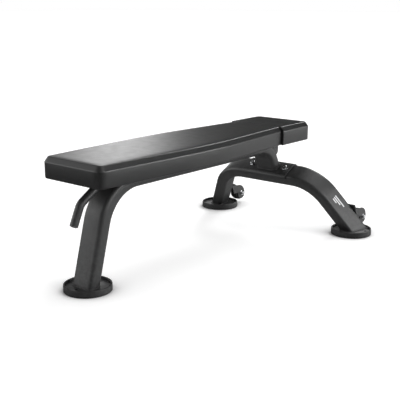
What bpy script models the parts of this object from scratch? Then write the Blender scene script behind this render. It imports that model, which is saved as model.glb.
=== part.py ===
"""Flat weight bench: a padded top on one bent spine tube, a leaning rear arch, three round feet,
a lift handle under the nose and a transport wheel behind each rear foot.

Bench coordinates run from the centre of the front foot: +Y towards the wheels, +Z up, X across.
Everything hangs on an empty that puts the origin under the middle of the whole bench.
"""
import math

import bmesh
import bpy
from mathutils import Vector

# ---- driving dimensions, metres ---------------------------------------------------------------
GAP = 0.0003              # clearance left between pieces that touch

FOOT_R = 0.081            # rubber foot cups
FOOT_H = 0.0234
FOOT_WALL = 0.0065
FOOT_FLOOR = 0.0072
PLATE_T = 0.0080          # steel foot discs lying in the cups
ANCHOR_R = 0.0058
REAR_FOOT_X = 0.3438
REAR_FOOT_Y = 1.129

TUBE_WALL = 0.0030
TUBE_CORNER = 0.0145
SPINE_W = 0.091           # rectangular tube of post, spine and neck
SPINE_D = 0.049
SPINE_TOP = 0.3677
POST_BASE_Y = -0.0115
POST_LEAN = math.radians(15.3)
POST_BEND_R = 0.1635
NECK_BEND_R = 0.102

ARCH_W = 0.092            # tube of the rear arch: across its plane, and in its plane
ARCH_D = 0.050
ARCH_LEAN = math.radians(26.28)
ARCH_Y = 1.1484           # where the arch plane meets the floor
ARCH_TOP = 0.2517         # centre line of the crown, measured up the plane
ARCH_FLAT = 0.1279        # half length of the straight crown
ARCH_BEND_R = 0.1547
ARCH_LEG = math.radians(60.5)

SADDLE_T = 0.0045         # folded plate over the crown
SADDLE_HALF = 0.108
SADDLE_TIP_HALF = 0.0865
SADDLE_LOW = 0.2420
SADDLE_BOLT_X = 0.081

PAD_BOTTOM = 0.3680
PAD_SHOULDER = 0.4228
PAD_TOP = 0.4400
PAD_CHAMFER = 0.0125
PAD_CORNER = 0.027
PAD_STATIONS = ((-0.0575, 0.1375), (0.3631, 0.1605), (0.5360, 0.1600), (0.9288, 0.1230), (1.1190, 0.1230))
SLEEVE_STATIONS = ((0.9288, 0.1345), (1.1272, 0.1345))
SLEEVE_RISE = 0.0017
BOARD_T = 0.015
BOARD_INSET = 0.013
PAD_BOLT_YS = (0.300, 0.800)

HANDLE_R = 0.0140
HANDLE_WALL = 0.0022
FRONT_PLATE_Y = (0.0450, 0.1580)
FRONT_PLATE_HALF = 0.030
FRONT_PLATE_T = 0.0050
REAR_BRACKET_HALF = 0.037
REAR_BRACKET_T = 0.0045

WHEEL_X = 0.319
WHEEL_Y = 1.233
WHEEL_Z = 0.049
WHEEL_R = 0.0315
WHEEL_HALF = 0.0150
HUB_R = 0.0190
AXLE_R = 0.0050
BORE_R = 0.0053
EAR_T = 0.0040
EAR_INNER = 0.0180        # wheel centre to the inside face of an ear

# ---- derived ----------------------------------------------------------------------------------
PLATE_Z0 = FOOT_FLOOR + GAP
PLATE_Z1 = PLATE_Z0 + PLATE_T
SPINE_Z = SPINE_TOP - SPINE_D / 2
ORIGIN_Y = (WHEEL_Y + WHEEL_R - FOOT_R) / 2
TAN_L, COS_L = math.tan(ARCH_LEAN), math.cos(ARCH_LEAN)
SADDLE_TOP = ARCH_TOP + ARCH_D / 2 + GAP + SADDLE_T
ARCH_CORNER = ARCH_FLAT + ARCH_BEND_R * math.tan(ARCH_LEG / 2)
FRONT_PLATE_Z0 = SPINE_TOP - FRONT_PLATE_T
HANDLE_Z = FRONT_PLATE_Z0 - GAP - HANDLE_R
HANDLE_PATH = ((0.1000, HANDLE_Z), (0.0687, HANDLE_Z), (-0.0185, 0.2950), (-0.0500, 0.2270))
BOARD_Z0 = PAD_BOTTOM + GAP
BOARD_Z1 = BOARD_Z0 + BOARD_T

POWDER = ((0.045, 0.046, 0.048), 0.0, 0.45)
RUBBER = ((0.016, 0.016, 0.017), 0.0, 0.75)
VINYL = ((0.022, 0.022, 0.023), 0.0, 0.42)
CHROME = ((0.80, 0.81, 0.82), 1.0, 0.15)
PLASTIC = ((0.020, 0.020, 0.021), 0.0, 0.5)
WOOD = ((0.030, 0.028, 0.026), 0.0, 0.8)
PAINT_GREY = ((0.55, 0.56, 0.57), 0.0, 0.5)

# ---- scene set-up -----------------------------------------------------------------------------
for old in list(bpy.data.objects):
    bpy.data.objects.remove(old)


def new_collection(name):
    made = bpy.data.collections.new(name)
    bpy.context.scene.collection.children.link(made)
    return made


PARTS = new_collection("flat_bench")
CUTTERS = new_collection("cutters")


def new_empty(name, parent, location, rotation=(0.0, 0.0, 0.0)):
    made = bpy.data.objects.new(name, None)
    PARTS.objects.link(made)
    made.parent = parent
    made.location = location
    made.rotation_euler = rotation
    return made


BENCH = new_empty("bench_frame", None, (0.0, -ORIGIN_Y, 0.0))
ARCH_PLANE = new_empty("arch_plane", BENCH, (0.0, ARCH_Y, 0.0), (ARCH_LEAN, 0.0, 0.0))
UPRIGHT = (0.0, 0.0, 0.0)


def new_material(name, look):
    colour, metallic, roughness = look
    made = bpy.data.materials.new(name)
    made.use_nodes = True
    shader = made.node_tree.nodes["Principled BSDF"]
    shader.inputs["Base Color"].default_value = (*colour, 1.0)
    shader.inputs["Metallic"].default_value = metallic
    shader.inputs["Roughness"].default_value = roughness
    return made


def add(name, mesh, look, parent=BENCH, location=(0.0, 0.0, 0.0), rotation=UPRIGHT):
    """A part when it has a look, a hidden cutter when look is None."""
    made = bpy.data.objects.new(name, mesh)
    made.parent = parent
    made.location = location
    made.rotation_euler = rotation
    if look is None:
        CUTTERS.objects.link(made)
        made.hide_render = True
        made.display_type = "WIRE"
        return made
    PARTS.objects.link(made)
    if not mesh.materials:
        mesh.materials.append(new_material(name, look))
    return made


def to_mesh(name, bm, sharp=35.0):
    bm.normal_update()
    bmesh.ops.recalc_face_normals(bm, faces=bm.faces)
    mesh = bpy.data.meshes.new(name)
    bm.to_mesh(mesh)
    bm.free()
    mesh.shade_smooth()
    mesh.set_sharp_from_angle(angle=math.radians(sharp))
    return mesh


def modify(target, other, operation="DIFFERENCE"):
    step = target.modifiers.new(other.name, "BOOLEAN")
    step.object = other
    step.operation = operation
    step.solver = "EXACT"


def baked(made, name):
    """The evaluated shape of an object as a plain mesh."""
    bpy.context.view_layer.update()
    graph = bpy.context.evaluated_depsgraph_get()
    mesh = bpy.data.meshes.new_from_object(made.evaluated_get(graph))
    mesh.name = name
    return mesh


# ---- shape helpers ----------------------------------------------------------------------------
def turned(name, profile, look, parent, location, rotation=UPRIGHT, steps=48, ring=False):
    """Screw of an (r, z) profile run down its outside; ring closes the profile on itself."""
    bm = bmesh.new()
    verts = [bm.verts.new((r, 0.0, z)) for r, z in profile]
    for pair in zip(verts, verts[1:]):
        bm.edges.new(pair)
    if ring:
        bm.edges.new((verts[-1], verts[0]))
    mesh = bpy.data.meshes.new(name)
    bm.to_mesh(mesh)
    bm.free()
    made = add(name, mesh, look, parent, location, rotation)
    screw = made.modifiers.new("turn", "SCREW")
    screw.angle = math.tau
    screw.steps = steps
    screw.render_steps = steps
    screw.use_merge_vertices = True
    screw.merge_threshold = 0.00002
    screw.use_smooth_shade = True
    return made


def extruded(outline, depth, start=0.0):
    """bmesh prism on a plan outline, from start upwards by depth."""
    bm = bmesh.new()
    face = bm.faces.new([bm.verts.new((x, y, start)) for x, y in outline])
    grown = bmesh.ops.extrude_face_region(bm, geom=[face])
    top = [v for v in grown["geom"] if isinstance(v, bmesh.types.BMVert)]
    bmesh.ops.translate(bm, verts=top, vec=(0.0, 0.0, depth))
    return bm


def cylinder(radius, depth, segments=16):
    """bmesh cylinder or hexagon standing on z = 0; radius is to the corners."""
    bm = bmesh.new()
    bmesh.ops.create_cone(bm, cap_ends=True, segments=segments, radius1=radius, radius2=radius, depth=depth)
    bmesh.ops.translate(bm, verts=bm.verts, vec=(0.0, 0.0, depth / 2))
    return bm


def drill(name, radius, parent, location, depth, rotation=UPRIGHT):
    return add(name, to_mesh(name, cylinder(radius, depth)), None, parent, location, rotation)


def rounded_rect(w, d, r, steps=3):
    points = []
    for cx, cy, start in ((1, 1, 0), (-1, 1, 90), (-1, -1, 180), (1, -1, 270)):
        for i in range(steps + 1):
            a = math.radians(start + 90 * i / steps)
            points.append((cx * (w / 2 - r) + r * math.cos(a), cy * (d / 2 - r) + r * math.sin(a)))
    return points


def circle(radius, count=16):
    return [(radius * math.cos(i * math.tau / count), radius * math.sin(i * math.tau / count))
            for i in range(count)]


def filleted(points, radii, steps):
    """Plane polyline with its inner corners rounded to the given radii."""
    pts = [Vector(p) for p in points]
    line = [pts[0]]
    for i, radius in enumerate(radii, start=1):
        u = (pts[i] - pts[i - 1]).normalized()
        v = (pts[i + 1] - pts[i]).normalized()
        turn = math.atan2(u.x * v.y - u.y * v.x, u.dot(v))
        start = pts[i] - u * radius * math.tan(abs(turn) / 2)
        side = math.copysign(1.0, turn)
        centre = start + Vector((-u.y, u.x)) * side * radius
        arm = start - centre
        for k in range(steps + 1):
            a = turn * k / steps
            line.append(centre + Vector((arm.x * math.cos(a) - arm.y * math.sin(a),
                                         arm.x * math.sin(a) + arm.y * math.cos(a))))
    return line + [pts[-1]]


def swept(name, path, section, caps=False):
    """Mesh of a section carried along a path: a curve with a bevel object, taken as the viewport shows it."""
    curves = []
    for label, points, shape in (("section", section, "2D"), ("path", path, "3D")):
        data = bpy.data.curves.new(name + "_" + label, "CURVE")
        data.dimensions = shape
        spline = data.splines.new("POLY")
        spline.points.add(len(points) - 1)
        for point, place in zip(spline.points, points):
            point.co = (*place, 0.0, 1.0) if len(place) == 2 else (*place, 1.0)
        spline.use_cyclic_u = shape == "2D"
        made = bpy.data.objects.new(data.name, data)
        CUTTERS.objects.link(made)
        curves.append(made)
    profile, rail = curves
    rail.data.twist_mode = "Z_UP"
    rail.data.bevel_mode = "OBJECT"
    rail.data.bevel_object = profile
    rail.data.use_fill_caps = caps
    mesh = baked(rail, name)
    for made in curves:
        bpy.data.objects.remove(made)
    bm = bmesh.new()
    bm.from_mesh(mesh)
    bmesh.ops.remove_doubles(bm, verts=bm.verts, dist=0.00001)
    bpy.data.meshes.remove(mesh)
    return to_mesh(name, bm)


def tube(name, path, section, wall, parent):
    """Open swept skin made into a wall inwards with Solidify."""
    made = add(name, swept(name, path, section), POWDER, parent)
    skin = made.modifiers.new("wall", "SOLIDIFY")
    skin.thickness = wall
    skin.offset = -1.0
    skin.use_even_offset = True
    return made


def prism(name, axis, points, low, high, look, parent=BENCH):
    """Outline in the two axes square to the named one, carried from low to high along it."""
    bm = extruded(points, high - low, low)
    for v in bm.verts:
        a, b, t = v.co
        v.co = {"X": (t, a, b), "Y": (a, t, b), "Z": (a, b, t)}[axis]
    return add(name, to_mesh(name, bm), look, parent)


# ---- feet -------------------------------------------------------------------------------------
def make_foot(side, x, y, hole):
    rim = FOOT_R - FOOT_WALL
    cup = ((0.0, FOOT_FLOOR), (rim, FOOT_FLOOR), (rim, FOOT_H - 0.001), (rim + 0.001, FOOT_H),
           (FOOT_R - 0.0015, FOOT_H), (FOOT_R, FOOT_H - 0.0015), (FOOT_R, 0.0015), (FOOT_R - 0.0015, 0.0),
           (0.0, 0.0))
    disc = ((0.0, PLATE_Z1), (rim - GAP - 0.001, PLATE_Z1), (rim - GAP, PLATE_Z1 - 0.001),
            (rim - GAP, PLATE_Z0), (0.0, PLATE_Z0))
    bore = drill("anchor_cut_" + side, ANCHOR_R, BENCH, (x + hole[0], y + hole[1], -0.01), 0.05)
    modify(turned("foot_rubber_" + side, cup, RUBBER, BENCH, (x, y, 0.0), steps=40), bore)
    modify(turned("foot_plate_" + side, disc, POWDER, BENCH, (x, y, 0.0), steps=36), bore)


make_foot("front", 0.0, 0.0, (0.0, -0.051))
make_foot("right", REAR_FOOT_X, REAR_FOOT_Y, (0.0565, 0.016))
make_foot("left", -REAR_FOOT_X, REAR_FOOT_Y, (-0.0565, 0.016))
FLOOR_AREA = ((-0.6, -0.2), (0.6, -0.2), (0.6, 1.4), (-0.6, 1.4))
FLOOR_CUT = prism("floor_cut", "Z", FLOOR_AREA, -0.3, PLATE_Z1 + GAP, None)


# ---- spine tube: post, spine and neck in one bent length ----------------------------------------
def spine_path(neck_short=0.0, steps=8):
    post_corner = (POST_BASE_Y + SPINE_Z * math.tan(POST_LEAN), SPINE_Z)
    neck_corner = (ARCH_Y - SPINE_Z * TAN_L, SPINE_Z)
    below = (POST_BASE_Y - 0.03 * math.tan(POST_LEAN), -0.03)
    end = (SADDLE_TOP + GAP - neck_short) * COS_L
    points = (below, post_corner, neck_corner, (ARCH_Y - end * TAN_L, end))
    return [(0.0, p.x, p.y) for p in filleted(points, (POST_BEND_R, NECK_BEND_R), steps)]


spine = tube("spine_tube", spine_path(), rounded_rect(SPINE_W, SPINE_D, TUBE_CORNER), TUBE_WALL, BENCH)
modify(spine, FLOOR_CUT)
for index, y in enumerate(PAD_BOLT_YS):
    modify(spine, drill("pad_bolt_cut_%d" % index, 0.0054, BENCH, (0.0, y, 0.30), 0.09))
clear_section = rounded_rect(SPINE_W + 2 * GAP, SPINE_D + 2 * GAP, TUBE_CORNER)
ENVELOPE = add("spine_envelope", swept("spine_envelope", spine_path(0.03, 16), clear_section, True), None)


# ---- rear arch tube, standing on its leaning plane ----------------------------------------------
def arch_path():
    reach = ARCH_CORNER + (ARCH_TOP + 0.05) / math.tan(ARCH_LEG)
    points = ((-reach, -0.05), (-ARCH_CORNER, ARCH_TOP), (ARCH_CORNER, ARCH_TOP), (reach, -0.05))
    return [(p.x, 0.0, p.y) for p in filleted(points, (ARCH_BEND_R, ARCH_BEND_R), 9)]


arch = tube("rear_arch_tube", arch_path(), rounded_rect(ARCH_W, ARCH_D, TUBE_CORNER), TUBE_WALL, ARCH_PLANE)
modify(arch, FLOOR_CUT)


# ---- saddle plate folded over the crown of the arch ----------------------------------------------
def make_saddle():
    """Fold line round the tube, pulled out along X, narrower towards both lips, then thickened."""
    top = ARCH_TOP + ARCH_D / 2 + GAP
    half_w = ARCH_W / 2 + GAP
    shoulder = top - TUBE_CORNER
    fold = [(-half_w, SADDLE_LOW)]
    for sign, start in ((-1, 180), (1, 90)):
        for i in range(6):
            a = math.radians(start - 90 * i / 5)
            fold.append((sign * (half_w - TUBE_CORNER) + TUBE_CORNER * math.cos(a),
                         shoulder + TUBE_CORNER * math.sin(a)))
    fold.append((half_w, SADDLE_LOW))
    bm = bmesh.new()
    verts = [bm.verts.new((0.0, w, s)) for w, s in fold]
    edges = [bm.edges.new(pair) for pair in zip(verts, verts[1:])]
    grown = bmesh.ops.extrude_edge_only(bm, edges=edges)["geom"]
    far = {v for v in grown if isinstance(v, bmesh.types.BMVert)}
    for v in bm.verts:
        drop = max(0.0, shoulder - v.co.z) / (shoulder - SADDLE_LOW)
        half = SADDLE_HALF + (SADDLE_TIP_HALF - SADDLE_HALF) * drop
        v.co.x = half if v in far else -half
    mesh = to_mesh("saddle_plate", bm)
    if mesh.polygons[len(mesh.polygons) // 2].normal.z < 0.0:
        mesh.flip_normals()
    made = add("saddle_plate", mesh, POWDER, ARCH_PLANE)
    skin = made.modifiers.new("wall", "SOLIDIFY")
    skin.thickness = SADDLE_T
    skin.offset = 1.0
    skin.use_even_offset = True
    return made


saddle = make_saddle()


# ---- fasteners ------------------------------------------------------------------------------------
def bolt_mesh(name, flat, head, radius, length):
    """Hex head above z = 0 with a chamfered crown, shank below it."""
    corner = flat / 2 / math.cos(math.pi / 6)
    bm = cylinder(corner, head, 6)
    crown = [e for e in bm.edges if all(v.co.z > head - 1e-6 for v in e.verts)]
    bmesh.ops.bevel(bm, geom=crown, offset=0.0011, segments=1, affect="EDGES")
    hexa = add(name + "_head", to_mesh(name + "_head", bm, 20.0), None, None)
    rod = cylinder(radius, length + 0.002)
    rim = [e for e in rod.edges if all(v.co.z < 1e-6 for v in e.verts)]
    bmesh.ops.bevel(rod, geom=rim, offset=0.0009, segments=1, affect="EDGES")
    shank = add(name + "_shank", to_mesh(name + "_shank", rod), None, None, (0.0, 0.0, -length))
    modify(hexa, shank, "UNION")
    mesh = baked(hexa, name)
    for used in (hexa, shank):
        bpy.data.objects.remove(used)
    return mesh


def nut_mesh(name, flat, depth, bore):
    corner = flat / 2 / math.cos(math.pi / 6)
    hexa = add(name + "_body", to_mesh(name, cylinder(corner, depth, 6), 20.0), None, None)
    hole = drill(name + "_hole", bore, None, (0.0, 0.0, -0.01), depth + 0.02)
    modify(hexa, hole)
    mesh = baked(hexa, name)
    for used in (hexa, hole):
        bpy.data.objects.remove(used)
    return mesh


def washer(name, bore, rim, depth, parent, location, rotation=UPRIGHT):
    profile = ((bore, depth), (rim, depth), (rim, 0.0), (bore, 0.0))
    return turned(name, profile, CHROME, parent, location, rotation, steps=16, ring=True)


seat = SADDLE_TOP + GAP
under = ARCH_TOP - ARCH_D / 2 - GAP
saddle_bolt = bolt_mesh("saddle_bolt", 0.019, 0.0078, 0.0060, seat + 0.0022 + GAP - under + 0.0165)
saddle_nut = nut_mesh("saddle_nut", 0.019, 0.0100, 0.0063)
for side, x in (("right", SADDLE_BOLT_X), ("left", -SADDLE_BOLT_X)):
    hole = drill("saddle_bolt_cut_" + side, 0.0064, ARCH_PLANE, (x, 0.0, 0.19), 0.12)
    modify(arch, hole)
    modify(saddle, hole)
    washer("saddle_washer_top_" + side, 0.0064, 0.0125, 0.0022, ARCH_PLANE, (x, 0.0, seat))
    washer("saddle_washer_under_" + side, 0.0064, 0.0125, 0.0022, ARCH_PLANE, (x, 0.0, under - 0.0022))
    add("saddle_bolt_" + side, saddle_bolt, CHROME, ARCH_PLANE, (x, 0.0, seat + 0.0022 + GAP))
    add("saddle_nut_" + side, saddle_nut, CHROME, ARCH_PLANE, (x, 0.0, under - 0.0022 - GAP - 0.0100))

belly = SPINE_TOP - SPINE_D - GAP
pad_bolt = bolt_mesh("pad_bolt", 0.016, 0.0064, 0.0050, 0.0625)
tnut_profile = ((0.0054, BOARD_T + 0.0012), (0.0120, BOARD_T + 0.0012), (0.0120, BOARD_T), (0.0069, BOARD_T),
                (0.0069, 0.002), (0.0054, 0.002))
for label, y in zip(("front", "rear"), PAD_BOLT_YS):
    washer("pad_washer_" + label, 0.0054, 0.0110, 0.0020, BENCH, (0.0, y, belly - 0.0020))
    add("pad_bolt_" + label, pad_bolt, CHROME, BENCH, (0.0, y, belly - 0.0020 - GAP), (math.pi, 0.0, 0.0))
    turned("pad_tnut_" + label, tnut_profile, CHROME, BENCH, (0.0, y, BOARD_Z0 + GAP), steps=16, ring=True)


# ---- front plate, lift handle and rear pad bracket --------------------------------------------------
front_screws = [(x, y) for x in (-0.021, 0.021) for y in (0.062, 0.125)]
rear_screws = [(x, 1.008) for x in (-0.020, 0.020)]
screw_cuts = [drill("screw_cut_%d" % i, 0.0034, BENCH, (x, y, 0.350), 0.0290)
              for i, (x, y) in enumerate(front_screws + rear_screws)]

plate_mid = sum(FRONT_PLATE_Y) / 2
plate_long = FRONT_PLATE_Y[1] - FRONT_PLATE_Y[0]
front_outline = [(x, plate_mid + y) for x, y in rounded_rect(2 * FRONT_PLATE_HALF, plate_long, 0.008)]
front_plate = prism("front_pad_plate", "Z", front_outline, FRONT_PLATE_Z0, SPINE_TOP, POWDER)
for cutter in screw_cuts[:4] + [ENVELOPE]:
    modify(front_plate, cutter)

bar = filleted(HANDLE_PATH, (0.034, 0.045), 4)
tube("lift_handle", [(0.0, p.x, p.y) for p in bar], circle(HANDLE_R), HANDLE_WALL, BENCH)
way = (bar[-1] - bar[-2]).normalized()
plug_r = HANDLE_R - HANDLE_WALL - 0.0005
plug_rim = HANDLE_R - 0.0006
plug_profile = ((0.0, 0.0028), (HANDLE_R - 0.0030, 0.0026), (plug_rim, 0.0014), (plug_rim, GAP),
                (plug_r, GAP), (plug_r, -0.010), (0.0, -0.010))
turned("handle_plug", plug_profile, PLASTIC, BENCH, (0.0, bar[-1].x, bar[-1].y),
       (math.atan2(-way.x, way.y), 0.0, 0.0), steps=16)


def bracket_outline(shrink):
    """Side outline (Y, Z) of the rear bracket, drawn in by a wall thickness."""
    back, low, r = 1.0375 - shrink, 0.3045 + shrink, 0.018 - shrink
    points = [(0.962 - shrink, SPINE_TOP - shrink), (back, SPINE_TOP - shrink)]
    for i in range(7):
        a = math.radians(-90 * i / 6)
        points.append((back - r - 0.001 + r * math.cos(a), low + r + r * math.sin(a)))
    return points + [(0.985 - shrink, low), (0.962 - shrink, 0.330)]


room = REAR_BRACKET_HALF - REAR_BRACKET_T
bracket = prism("rear_pad_bracket", "X", bracket_outline(0.0), -REAR_BRACKET_HALF, REAR_BRACKET_HALF, POWDER)
bracket_room = prism("rear_bracket_room", "X", bracket_outline(REAR_BRACKET_T), -room, room, None)
for cutter in [bracket_room, ENVELOPE] + screw_cuts[4:]:
    modify(bracket, cutter)

screw_profile = ((0.0, 0.0150), (0.0030, 0.0150), (0.0030, 0.0), (0.0058, 0.0), (0.0058, -0.0018),
                 (0.0044, -0.0034), (0.0, -0.0034))
for index, (x, y) in enumerate(front_screws + rear_screws):
    under_plate = FRONT_PLATE_Z0 if index < 4 else SPINE_TOP - REAR_BRACKET_T
    turned("pad_screw_%d" % (index + 1), screw_profile, CHROME, BENCH, (x, y, under_plate - GAP), steps=12)


# ---- pad ---------------------------------------------------------------------------------------
def half_width(y, stations):
    for (y0, w0), (y1, w1) in zip(stations, stations[1:]):
        if y <= y1:
            return w0 + (w1 - w0) * (y - y0) / (y1 - y0)
    return stations[-1][1]


def plan(stations, inset, round_front=True):
    """Plan outline drawn in by inset: straight tapers between stations, rounded corners at the ends."""
    y0, y1 = stations[0][0] + inset, stations[-1][0] - inset
    r = PAD_CORNER - inset
    right = []
    if round_front:
        middle = half_width(y0 + r, stations) - inset - r
        for i in range(7):
            a = math.radians(-90 + 90 * i / 6)
            right.append((middle + r * math.cos(a), y0 + r + r * math.sin(a)))
    else:
        right.append((half_width(y0, stations) - inset, stations[0][0]))
    right += [(w - inset, y) for y, w in stations[1:-1]]
    middle = half_width(y1 - r, stations) - inset - r
    for i in range(7):
        a = math.radians(90 * i / 6)
        right.append((middle + r * math.cos(a), y1 - r + r * math.sin(a)))
    return right + [(-x, y) for x, y in reversed(right)]


def block(name, outline, base, shoulder, top, look):
    """Upholstered block: straight sides to the shoulder, then a chamfer up to a flat top panel."""
    bm = extruded(outline, shoulder - base, base)
    lid = [f for f in bm.faces if all(abs(v.co.z - shoulder) < 1e-6 for v in f.verts)]
    bmesh.ops.inset_region(bm, faces=lid, thickness=PAD_CHAMFER, use_even_offset=True)
    bmesh.ops.translate(bm, verts=lid[0].verts, vec=(0.0, 0.0, top - shoulder))
    return add(name, to_mesh(name, bm), look)


def round_base(made, base, width):
    """Roll the lower edge under, as the cover is pulled round the foam."""
    bm = bmesh.new()
    bm.from_mesh(made.data)
    rim = [e for e in bm.edges if all(abs(v.co.z - base) < 1e-6 for v in e.verts)]
    bmesh.ops.bevel(bm, geom=rim, offset=width, segments=2, profile=0.5, affect="EDGES")
    bm.to_mesh(made.data)
    bm.free()


cushion = block("pad_cushion", plan(PAD_STATIONS, 0.0), PAD_BOTTOM, PAD_SHOULDER, PAD_TOP, VINYL)
round_base(cushion, PAD_BOTTOM, 0.004)
modify(cushion, prism("board_pocket", "Z", plan(PAD_STATIONS, BOARD_INSET - GAP), PAD_BOTTOM - 0.01,
                      BOARD_Z1 + 0.0020, None))
board = prism("pad_board", "Z", plan(PAD_STATIONS, BOARD_INSET), BOARD_Z0, BOARD_Z1, WOOD)
for cutter in screw_cuts:
    modify(board, cutter)
for index, y in enumerate(PAD_BOLT_YS):
    modify(board, drill("tnut_cut_%d" % index, 0.0072, BENCH, (0.0, y, 0.36), 0.04))

sleeve = block("pad_sleeve", plan(SLEEVE_STATIONS, 0.0, False), PAD_BOTTOM, PAD_SHOULDER + SLEEVE_RISE,
               PAD_TOP + SLEEVE_RISE, VINYL)
modify(sleeve, block("pad_envelope", plan(PAD_STATIONS, -GAP), PAD_BOTTOM - 0.01, PAD_SHOULDER + GAP,
                     PAD_TOP + GAP, None))


# ---- wheels: each one built on an empty whose Z axis is the axle, pointing outwards -----------------
def rear_face_y(z, w):
    """Bench Y, at height z, of the plane parallel to the arch plane and w behind it."""
    return ARCH_Y - z * TAN_L + w / COS_L


def ear_outline():
    """Side outline of an ear: round lobe under the axle, high rounded back, front edge in the base."""
    base_w = ARCH_W / 2 + GAP + 0.0040
    lobe = 0.0245
    points = [(rear_face_y(0.0545, base_w), 0.0545)]
    for degrees in range(165, 361, 15):
        a = math.radians(degrees)
        points.append((WHEEL_Y - 0.0005 + lobe * math.cos(a), 0.0475 + lobe * math.sin(a)))
    crown = WHEEL_Y - 0.0190
    for degrees in range(15, 91, 15):
        a = math.radians(degrees)
        points.append((crown + 0.0425 * math.cos(a), 0.0475 + 0.0420 * math.sin(a)))
    return points + [(rear_face_y(0.0925, base_w), 0.0925)]


def make_wheel(side, sign):
    centre = (sign * WHEEL_X, WHEEL_Y, WHEEL_Z)
    axle = new_empty("axle_" + side, BENCH, centre, (0.0, sign * math.pi / 2, 0.0))
    w0 = ARCH_W / 2 + GAP
    corners = [(sign * x, s) for x, s in ((0.291, 0.056), (0.347, 0.056), (0.347, 0.104), (0.291, 0.104))]
    bracket = prism("wheel_bracket_" + side, "Y", corners, w0, w0 + 0.005, POWDER, ARCH_PLANE)
    for label, start in (("outer", EAR_INNER), ("inner", -EAR_INNER - EAR_T)):
        ends = sorted((sign * (WHEEL_X + start), sign * (WHEEL_X + start + EAR_T)))
        ear = prism("ear_%s_%s" % (label, side), "X", ear_outline(), ends[0], ends[1], None)
        modify(bracket, ear, "UNION")
    modify(bracket, drill("axle_cut_" + side, 0.0054, axle, (0.0, 0.0, -0.03), 0.06))

    h = WHEEL_HALF
    hub = ((BORE_R, h + 0.0006), (0.0100, h + 0.0006), (0.0100, h - 0.003), (0.0160, h - 0.003),
           (0.0165, h - 0.0005), (HUB_R - GAP, h - 0.0005), (HUB_R - GAP, 0.0005 - h), (0.0165, 0.0005 - h),
           (0.0160, 0.003 - h), (0.0100, 0.003 - h), (0.0100, -h - 0.0006), (BORE_R, -h - 0.0006))
    tread = WHEEL_R
    tyre = ((HUB_R, h), (tread - 0.004, h), (tread - 0.0012, h - 0.0014), (tread, h - 0.005),
            (tread, 0.005 - h), (tread - 0.0012, 0.0014 - h), (tread - 0.004, -h), (HUB_R, -h))
    turned("wheel_hub_" + side, hub, PLASTIC, axle, (0.0, 0.0, 0.0), steps=24, ring=True)
    turned("wheel_tyre_" + side, tyre, RUBBER, axle, (0.0, 0.0, 0.0), steps=32, ring=True)
    outer = EAR_INNER + EAR_T + GAP
    washer("axle_washer_outer_" + side, 0.0054, 0.0105, 0.0015, axle, (0.0, 0.0, outer))
    washer("axle_washer_inner_" + side, 0.0054, 0.0105, 0.0015, axle, (0.0, 0.0, -outer - 0.0015))
    add("axle_bolt_" + side, axle_bolt, CHROME, axle, (0.0, 0.0, outer + 0.0015 + GAP))
    add("axle_nut_" + side, axle_nut, CHROME, axle, (0.0, 0.0, -outer - 0.0015 - GAP - 0.0075))


axle_bolt = bolt_mesh("axle_bolt", 0.016, 0.0060, AXLE_R, 2 * (EAR_INNER + EAR_T) + 0.0145)
axle_nut = nut_mesh("axle_nut", 0.016, 0.0075, 0.0053)
make_wheel("right", 1)
make_wheel("left", -1)


# ---- plain bar marks painted on the outside face of each leg ---------------------------------------
MARKS = ((0.060, 0.010), (0.042, 0.0), (0.024, -0.010))
face_x = ARCH_CORNER + ARCH_D / 2 * math.sin(ARCH_LEG)
face_s = ARCH_TOP + ARCH_D / 2 * math.cos(ARCH_LEG)
right_turn = (0.0, ARCH_LEG, 0.0)
left_turn = (math.pi, math.pi - ARCH_LEG, 0.0)
for side, sign, turn in (("right", 1, right_turn), ("left", -1, left_turn)):
    face = new_empty("leg_face_" + side, ARCH_PLANE, (sign * face_x, 0.0, face_s), turn)
    for index, (length, across) in enumerate(MARKS):
        middle = 0.105 + length / 2
        outline = [(middle + a, sign * across + b) for a, b in rounded_rect(length, 0.006, 0.0027)]
        prism("leg_mark_%s_%d" % (side, index + 1), "Z", outline, 0.0001, 0.0004, PAINT_GREY, face)
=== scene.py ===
"""Looks of the flat weight bench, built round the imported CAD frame.

Places come from the boxes of the CAD nodes. The sections, radii and outlines below are the ones that the CAD
solids have, so every piece stands where its solid stands.
"""
import math

import bmesh
import bpy
from mathutils import Matrix, Vector, noise


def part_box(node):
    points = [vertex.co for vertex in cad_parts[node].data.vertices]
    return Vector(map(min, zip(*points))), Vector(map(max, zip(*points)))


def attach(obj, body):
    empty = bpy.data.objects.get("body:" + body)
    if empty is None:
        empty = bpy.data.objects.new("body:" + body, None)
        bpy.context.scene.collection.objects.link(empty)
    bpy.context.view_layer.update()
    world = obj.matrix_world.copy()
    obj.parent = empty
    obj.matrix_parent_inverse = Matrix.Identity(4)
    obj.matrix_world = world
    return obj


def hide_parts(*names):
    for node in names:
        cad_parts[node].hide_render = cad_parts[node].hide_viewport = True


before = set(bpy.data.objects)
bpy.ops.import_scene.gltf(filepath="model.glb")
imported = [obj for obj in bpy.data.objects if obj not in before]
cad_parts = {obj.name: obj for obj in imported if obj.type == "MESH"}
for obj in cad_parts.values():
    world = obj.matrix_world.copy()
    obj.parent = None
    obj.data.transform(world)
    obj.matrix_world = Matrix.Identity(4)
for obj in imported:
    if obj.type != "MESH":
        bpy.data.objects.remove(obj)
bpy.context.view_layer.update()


def middle(node):
    low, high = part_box(node)
    return (low + high) / 2


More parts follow.
